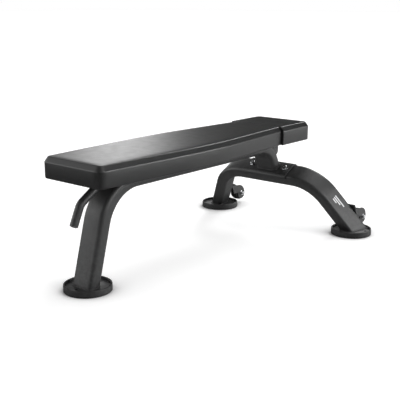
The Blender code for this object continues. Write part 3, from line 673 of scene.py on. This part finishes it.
class Slab:
    """Grid and rim loops of an upholstered slab: a plan outline that rings of one vertex count can follow."""

    def __init__(self, stations, corner, square_front=False, columns=26, row=0.0115):
        self.stations, self.corner, self.columns = stations, corner, columns
        self.lean = 0.06 if square_front else 0.0         # keeps the rings of a square front apart
        low, high = stations[0][0], stations[-1][0]
        start, end = (low if square_front else low + corner), high - corner
        count = max(2, round((end - start) / row))
        self.rows = [] if square_front else [("front", a) for a in range(0, 90, 10)]
        self.rows += [("along", start + (end - start) * k / count) for k in range(count + 1)]
        self.rows += [("back", a) for a in range(80, -1, -10)]
        self.low, self.high = low, high

    def row(self, spec, inset):
        """(y, half width) of one grid row for an outline drawn in by inset."""
        kind, value = spec
        if kind == "along":
            lean = self.lean * inset if value == self.low else 0.0
            return value + lean, eased_half(value, self.stations) - inset
        r = self.corner - inset
        y_mid = self.low + self.corner if kind == "front" else self.high - self.corner
        wide = eased_half(y_mid, self.stations) - inset - r
        a = math.radians(value)
        return y_mid + (-1 if kind == "front" else 1) * r * math.cos(a), wide + r * math.sin(a)

    def grid(self, inset):
        """Rows of plan points that fill the outline."""
        return [[(half * (2 * i / self.columns - 1), y) for i in range(self.columns + 1)]
                for y, half in (self.row(spec, inset) for spec in self.rows)]

    def loop(self, inset):
        """Plan points round the outline, as many as the rim of a grid has."""
        grid = self.grid(inset)
        right = [row[-1] for row in grid[1:-1]]
        left = [row[0] for row in grid[1:-1]]
        return grid[0] + right + grid[-1][::-1] + left[::-1]

    def solid(self, name, profile, sharp=0.0):
        """Closed mesh: grid at the profile's first step, its rings, and a grid at its last step.

        Returns the mesh with the ring number of every vertex: -1 on the first grid, -2 on the last."""
        bm = bmesh.new()
        where = bm.verts.layers.int.new("ring")
        grids = []
        for end, mark in ((0, -1), (-1, -2)):
            inset, z = profile[end]
            rows = []
            for line in self.grid(inset):
                rows.append([bm.verts.new((x, y, z)) for x, y in line])
                for v in rows[-1]:
                    v[where] = mark
            for a, b in zip(rows, rows[1:]):
                for i in range(self.columns):
                    bm.faces.new((a[i], a[i + 1], b[i + 1], b[i]))
            grids.append(rows)
        rims = []
        for rows in grids:
            rims.append(rows[0] + [r[-1] for r in rows[1:-1]] + rows[-1][::-1] + [r[0] for r in rows[1:-1]][::-1])
        rings = [rims[0]]
        for number, (inset, z) in enumerate(profile[1:-1], start=1):
            rings.append([bm.verts.new((x, y, z)) for x, y in self.loop(inset)])
            for v in rings[-1]:
                v[where] = number
        rings.append(rims[1])
        for a, b in zip(rings, rings[1:]):
            for k in range(len(a)):
                j = (k + 1) % len(a)
                bm.faces.new((a[k], a[j], b[j], b[k]))
        bmesh.ops.recalc_face_normals(bm, faces=bm.faces)
        marks = [v[where] for v in bm.verts]
        return finish_mesh(name, bm, sharp), marks


def inflate(mesh, free, cap, pressure=4.0, frames=20):
    """Air pressure under the cover, by cloth simulation: free vertices swell, the sewn lines hold.

    The displacement is capped, and written to the mesh."""
    made = helper("inflating", mesh)
    held = made.vertex_groups.new(name="held")
    held.add([i for i, loose in enumerate(free) if not loose], 1.0, "REPLACE")
    cloth = made.modifiers.new("cloth", "CLOTH")
    settings = cloth.settings
    settings.quality = 4
    settings.mass = 0.25
    settings.tension_stiffness = settings.compression_stiffness = 12.0
    settings.bending_stiffness = 0.6
    settings.use_pressure = True
    settings.uniform_pressure_force = pressure
    settings.effector_weights.gravity = 0.0
    settings.vertex_group_mass = "held"
    cloth.point_cache.frame_start, cloth.point_cache.frame_end = 1, frames
    for number in range(1, frames + 1):
        scene.frame_set(number)
    graph = bpy.context.evaluated_depsgraph_get()
    swollen = [v.co.copy() for v in made.evaluated_get(graph).data.vertices]
    made.modifiers.remove(cloth)
    for vertex, grown in zip(mesh.vertices, swollen):
        move = grown - vertex.co
        if move.length > 1e-7:
            vertex.co += move.normalized() * cap * math.tanh(move.length / cap)
    bpy.data.objects.remove(made)
    scene.frame_set(1)
    mesh.update()


def crease(inset_a, z_a, corner, inset_b, z_b, steps=4):
    """Profile points of a rounded crease from one side of a corner to the other."""
    a, c, b = Vector((inset_a, z_a)), Vector(corner), Vector((inset_b, z_b))
    return [tuple(a * (1 - t) ** 2 + c * 2 * t * (1 - t) + b * t ** 2) for t in (k / steps for k in range(steps + 1))]


def cover_profile(base, shoulder, top, ceiling, soft, roll=0.0050):
    """(inset, z) rings of the cover: pocket round the board, rolled lower edge, side, chamfer and top panel.

    Also returns the numbers of the rings on the side, which swell."""
    chamfer, inner, rise = PAD_CHAMFER, POCKET_INSET, top - shoulder
    unit = Vector((chamfer, rise)).normalized() * soft
    rings = [(inner + 0.010, ceiling), (inner, ceiling), (inner, base + 0.0016)]
    rings += crease(inner, base + 0.0012, (inner - 0.0002, base), inner - 0.0020, base, 2)
    rings += crease(roll, base, (0.0, base), 0.0, base + roll, 5)
    first_side = len(rings)
    rings += [(0.0, base + roll + (shoulder - soft - base - roll) * k / 6) for k in range(1, 6)]
    last_side = len(rings) - 1
    rings += crease(0.0, shoulder - soft, (0.0, shoulder), unit.x, shoulder + unit.y)
    rings += [(chamfer * 0.5, shoulder + rise * 0.5)]
    rings += crease(chamfer - unit.x, top - unit.y, (chamfer, top), chamfer + soft, top)
    rings += [(chamfer + soft + 0.005, top), (chamfer + soft + 0.0075, top)]
    return rings, set(range(first_side, last_side + 1))


def upholster(name, slab, profile, sides, cap, material, node, cut=None):
    """Inflated cover over a slab; cut is a solid, in bench coordinates, that is taken out of it."""
    mesh, marks = slab.solid(name, profile)
    last = len(profile) - 2
    free = [mark == -2 or mark in sides or mark == last for mark in marks]
    inflate(mesh, free, cap)
    mesh.transform(BENCH)
    if cut:
        mesh = combined(name, mesh, [("DIFFERENCE", cut, BENCH)], 48.0)
    made = piece(name, mesh, material, [node])
    smooth = made.modifiers.new("smooth", "SUBSURF")
    smooth.levels = smooth.render_levels = 0 if cut else 1
    return made


pad_rings, pad_sides = cover_profile(PAD_LOW.z, PAD_SHOULDER, PAD_HIGH.z, PAD_POCKET_TOP, 0.0026)
pad_slab = Slab(PAD_STATIONS, PAD_CORNER)
upholster("pad_cover", pad_slab, pad_rings, pad_sides, 0.0016, VINYL, "pad_cushion")

sleeve_shoulder = PAD_SHOULDER + (SLEEVE_HIGH.z - PAD_HIGH.z)
sleeve_rings, sleeve_sides = cover_profile(SLEEVE_LOW.z, sleeve_shoulder, SLEEVE_HIGH.z, SLEEVE_POCKET_TOP, 0.0022)
sleeve_slab = Slab(SLEEVE_STATIONS, PAD_CORNER, square_front=True, columns=24, row=0.0085)
ROOM = 0.0006                                             # between the pad and the cover over its head
envelope = [(inset - ROOM, z + lift) for inset, z, lift in
            ((0.03, 0.36, 0.0), (0.0, 0.36, 0.0), (0.0, PAD_SHOULDER, ROOM),
             (PAD_CHAMFER, PAD_HIGH.z, ROOM), (0.03, PAD_HIGH.z, ROOM))]
upholster("pad_sleeve_cover", sleeve_slab, sleeve_rings, sleeve_sides, 0.0009, SLEEVE_VINYL, "pad_sleeve",
          pad_slab.solid("pad_envelope", envelope)[0])


# ---- wheels --------------------------------------------------------------------------------------
def rear_face_y(z, w):
    """Bench Y, at height z, of the plane parallel to the arch plane and w behind it."""
    return ARCH_Y - z * math.tan(ARCH_LEAN) + w / math.cos(ARCH_LEAN)


EAR_T, EAR_STARTS, EAR_LOBE, EAR_Y, EAR_Z = 0.004, (0.0180, -0.0220), 0.0245, 1.233, 0.0475
EAR_FOOT_LOW, EAR_FOOT_HIGH, EAR_SINK = 0.0545, 0.0925, 0.0040     # the ears' reach along and into the base
BASE_IN, BASE_OUT, BASE_LOW, BASE_HIGH, BASE_T = 0.291, 0.347, 0.056, 0.104, 0.005
AXLE_BORE = 0.0054
UPRIGHT_X = Matrix(((0, 0, 1, 0), (1, 0, 0, 0), (0, 1, 0, 0), (0, 0, 0, 1)))   # outline (Y, Z) carried along X


def ear_outline():
    """Ear of the wheel bracket: a lobe round the axle, and a crown that falls to the base plate."""
    base_w = ARCH_W / 2 + GAP + EAR_SINK
    points = [(rear_face_y(EAR_FOOT_LOW, base_w), EAR_FOOT_LOW)]
    for degrees in range(165, 361, 5):
        a = math.radians(degrees)
        points.append((EAR_Y - 0.0005 + EAR_LOBE * math.cos(a), EAR_Z + EAR_LOBE * math.sin(a)))
    crown = EAR_Y - 0.0190
    for degrees in range(5, 91, 5):
        a = math.radians(degrees)
        points.append((crown + 0.0425 * math.cos(a), EAR_Z + 0.0420 * math.sin(a)))
    return points + [(rear_face_y(EAR_FOOT_HIGH, base_w), EAR_FOOT_HIGH)]


def make_bracket(side, sign, axle):
    """Base plate on the back of the leg, with two ears that the axle bolt goes through."""
    corners = ((BASE_IN, BASE_LOW), (BASE_OUT, BASE_LOW), (BASE_OUT, BASE_HIGH), (BASE_IN, BASE_HIGH))
    stand = Matrix(((1, 0, 0, 0), (0, 0, 1, ARCH_W / 2 + GAP), (0, 1, 0, 0), (0, 0, 0, 1)))
    base = prism("base", [(x * sign, y) for x, y in corners], BASE_T, ARCH @ stand)
    steps = []
    for start in EAR_STARTS:
        low = min(sign * start, sign * (start + EAR_T))
        place = BENCH @ Matrix.Translation((AXLE[side].x + low, 0, 0)) @ UPRIGHT_X
        steps.append(("UNION", prism("ear", ear_outline(), EAR_T, place), Matrix()))
    steps.append(("DIFFERENCE", cylinder("bore", AXLE_BORE, -0.03, 0.03, axle), Matrix()))
    mesh = combined("wheel_ears_" + side, base, steps, 30.0)
    soften(piece("wheel_ears_" + side, mesh, POWDER, ["wheel_bracket_" + side]), 0.0007, 2, 35.0)


WHEEL_HALF, HUB_R, TREAD_R, HUB_BORE = 0.0150, 0.0190, 0.0315, 0.0053
AXLE_BOLT = {**M10, "head": 0.0060}
AXLE_WASHER, AXLE_NUT, AXLE_NUT_BORE = 0.0015, 0.0075, 0.0051


def make_wheel(side, axle):
    """Nylon hub with a boss and a recess on each face, and a rubber tyre with grooves in its sides and tread."""
    h, tread = WHEEL_HALF, TREAD_R
    hub = [(HUB_BORE, h + 0.0006), (0.0100, h + 0.0006), (0.0100, h - 0.0040), (0.0155, h - 0.0040),
           (0.0163, h - 0.0004), (HUB_R - GAP, h - 0.0004)]
    hub += [(r, -z) for r, z in reversed(hub)]
    tyre = [(HUB_R, h), (tread - 0.0085, h), (tread - 0.0080, h - 0.0005), (tread - 0.0072, h - 0.0005),
            (tread - 0.0067, h), (tread - 0.0040, h - 0.0002), (tread - 0.0018, h - 0.0012),
            (tread - 0.0005, h - 0.0030), (tread, h - 0.0052)]
    groove = [(tread, 0.0008), (tread - 0.0004, 0.0003), (tread - 0.0004, -0.0003), (tread, -0.0008)]
    tyre += groove + [(r, -z) for r, z in reversed(tyre)]
    core = turned("wheel_core", rounded_profile(hub, 0.0006, 2), 64, axle, ring=True, sharp=45.0)
    piece("wheel_core_" + side, core, NYLON, ["wheel_hub_" + side], "wheel_" + side)
    rim = turned("wheel_tread", tyre, 80, axle, ring=True, sharp=45.0)
    piece("wheel_tread_" + side, rim, RUBBER, ["wheel_tyre_" + side], "wheel_" + side)


def fasten_axle(side, axle):
    outer = -min(EAR_STARTS) + GAP
    for label, at in (("outer", outer), ("inner", -outer - AXLE_WASHER)):
        washer("axle_ring_%s_%s" % (label, side), axle @ Matrix.Translation((0, 0, at)), AXLE_BORE, 0.0105,
               AXLE_WASHER, "axle_washer_%s_%s" % (label, side))
    bolt("axle_bolt_hex_" + side, axle @ Matrix.Translation((0, 0, outer + AXLE_WASHER + GAP)), AXLE_BOLT, 0.0585,
         "axle_bolt_" + side, 0.014)
    nut("axle_nut_hex_" + side, axle @ Matrix.Translation((0, 0, -outer - AXLE_WASHER - GAP - AXLE_NUT)),
        AXLE_BOLT["flat"], AXLE_NUT, AXLE_NUT_BORE, "axle_nut_" + side)


for side, sign in (("right", 1), ("left", -1)):
    axle = Matrix.Translation(AXLE[side]) @ Matrix.Rotation(sign * math.pi / 2, 4, "Y")
    make_bracket(side, sign, axle)
    make_wheel(side, axle)
    fasten_axle(side, axle)


# ---- CAD nodes that keep their own shape ---------------------------------------------------------
carried_looks = {"pad_board": PLYWOOD, "pad_tnut": STEEL, "pad_screw": STEEL, "leg_mark": PRINT}
for node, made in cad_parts.items():
    for start, material in carried_looks.items():
        if node.startswith(start):
            made.data.materials.clear()
            made.data.materials.append(material)


# ---- floor, light and camera ---------------------------------------------------------------------
FLOOR_HALF, FLOOR_DROP = 60.0, 0.0004
bm = bmesh.new()
bmesh.ops.create_grid(bm, x_segments=8, y_segments=8, size=FLOOR_HALF)
floor = bpy.data.objects.new("floor", finish_mesh("floor", bm))
floor.data.materials.append(pale_floor())
scene.collection.objects.link(floor)
floor.location.z = -FLOOR_DROP
floor.visible_glossy = False


class Studio:
    """Soft surroundings, painted on the world as round glows and upright strip lights."""

    def __init__(self):
        scene.world = bpy.data.worlds.new("studio")
        scene.world.use_nodes = True
        tree = scene.world.node_tree
        self.nodes, self.links = tree.nodes, tree.links
        self.way = self.nodes.new("ShaderNodeTexCoord").outputs["Generated"]
        self.total = None

    def along(self, direction):
        """Cosine between the way looked and a direction."""
        made = self.nodes.new("ShaderNodeVectorMath")
        made.operation = "DOT_PRODUCT"
        self.links.new(self.way, made.inputs[0])
        made.inputs[1].default_value = direction
        return made.outputs["Value"]

    def ramp(self, value, start, full, strength=1.0):
        """Smooth rise from nothing at start to strength at full."""
        made = self.nodes.new("ShaderNodeMapRange")
        made.interpolation_type = "SMOOTHSTEP"
        self.links.new(value, made.inputs["Value"])
        made.inputs["From Min"].default_value, made.inputs["From Max"].default_value = start, full
        made.inputs["To Max"].default_value = strength
        return made.outputs["Result"]

    def math(self, operation, first, second=None):
        made = self.nodes.new("ShaderNodeMath")
        made.operation = operation
        self.links.new(first, made.inputs[0])
        if second:
            self.links.new(second, made.inputs[1])
        return made.outputs[0]

    def add(self, light):
        self.total = self.math("ADD", self.total, light) if self.total else light

    def glow(self, azimuth, elevation, core, edge, strength):
        """Round glow, full inside core degrees of its middle and gone at edge degrees."""
        a, e = math.radians(azimuth), math.radians(elevation)
        middle_way = (math.sin(a) * math.cos(e), math.cos(a) * math.cos(e), math.sin(e))
        full, gone = math.cos(math.radians(core)), math.cos(math.radians(edge))
        self.add(self.ramp(self.along(middle_way), gone, full, strength))

    def strip(self, azimuth, low, high, half, strength):
        """Upright strip light from elevation low to high, half degrees to each side."""
        a = math.radians(azimuth)
        aside = self.math("ABSOLUTE", self.along((math.cos(a), -math.sin(a), 0.0)))
        light = self.ramp(aside, math.sin(math.radians(2.0 * half)), math.sin(math.radians(0.4 * half)), strength)
        height = self.along((0.0, 0.0, 1.0))
        fade_below, fade_above = 6, 8
        for start, full in ((low - fade_below, low), (high + fade_above, high)):
            bound = self.ramp(height, math.sin(math.radians(start)), math.sin(math.radians(full)))
            light = self.math("MULTIPLY", light, bound)
        this_side = self.ramp(self.along((math.sin(a), math.cos(a), 0.0)), 0.0, 0.05)
        self.add(self.math("MULTIPLY", light, this_side))

    def show(self):
        """The camera itself sees plain white behind the floor."""
        sees = self.nodes.new("ShaderNodeLightPath").outputs["Is Camera Ray"]
        backdrop = self.nodes.new("ShaderNodeMix")
        self.links.new(sees, backdrop.inputs["Factor"])
        self.links.new(self.total, backdrop.inputs["A"])
        backdrop.inputs["B"].default_value = 1.0
        self.links.new(backdrop.outputs["Result"], self.nodes["Background"].inputs["Color"])


studio = Studio()                           # degrees; azimuth turns from +Y towards +X
studio.glow(0, -90, 30, 84, 0.24)           # what the floor gives back
studio.glow(20, -13, 8, 34, 0.8)
studio.glow(90, -13, 8, 28, 0.3)
studio.glow(0, 90, 10, 50, 0.3)             # overhead and behind
studio.glow(0, 52, 8, 26, 1.1)
studio.glow(55, 66, 6, 22, 1.8)
studio.glow(-10, 36, 5, 10, 16.0)           # small lamp behind, for the creases
studio.glow(44, 7, 2, 8, 26.0)              # small lamp at the right, for the creases
studio.glow(60, 9, 5, 16, 4.4)              # large softbox at the right, behind
studio.glow(80, 28, 6, 24, 3.8)
studio.glow(120, 30, 6, 26, 0.8)
studio.glow(185, 8, 3, 14, 2.4)             # front
studio.glow(205, 30, 6, 24, 1.3)
studio.glow(230, 12, 6, 22, 2.3)            # left
studio.glow(262, 8, 3, 14, 2.6)
studio.glow(258, 30, 8, 30, 0.9)
studio.strip(314, -6, 36, 2.2, 3.1)         # tall strip light that the pad mirrors
studio.strip(308, -6, 36, 3.0, 0.6)
studio.show()

camera = bpy.data.objects.new("camera", bpy.data.cameras.new("camera"))
scene.collection.objects.link(camera)
camera.location = (1.8129, -2.17845, 0.9175)
camera.rotation_euler = (math.radians(75.584), 0.0, math.radians(39.99))
camera.data.lens, camera.data.sensor_width = 69.13, 36.0
camera.data.clip_end = 300.0
scene.camera = camera
scene.view_settings.view_transform = "Standard"
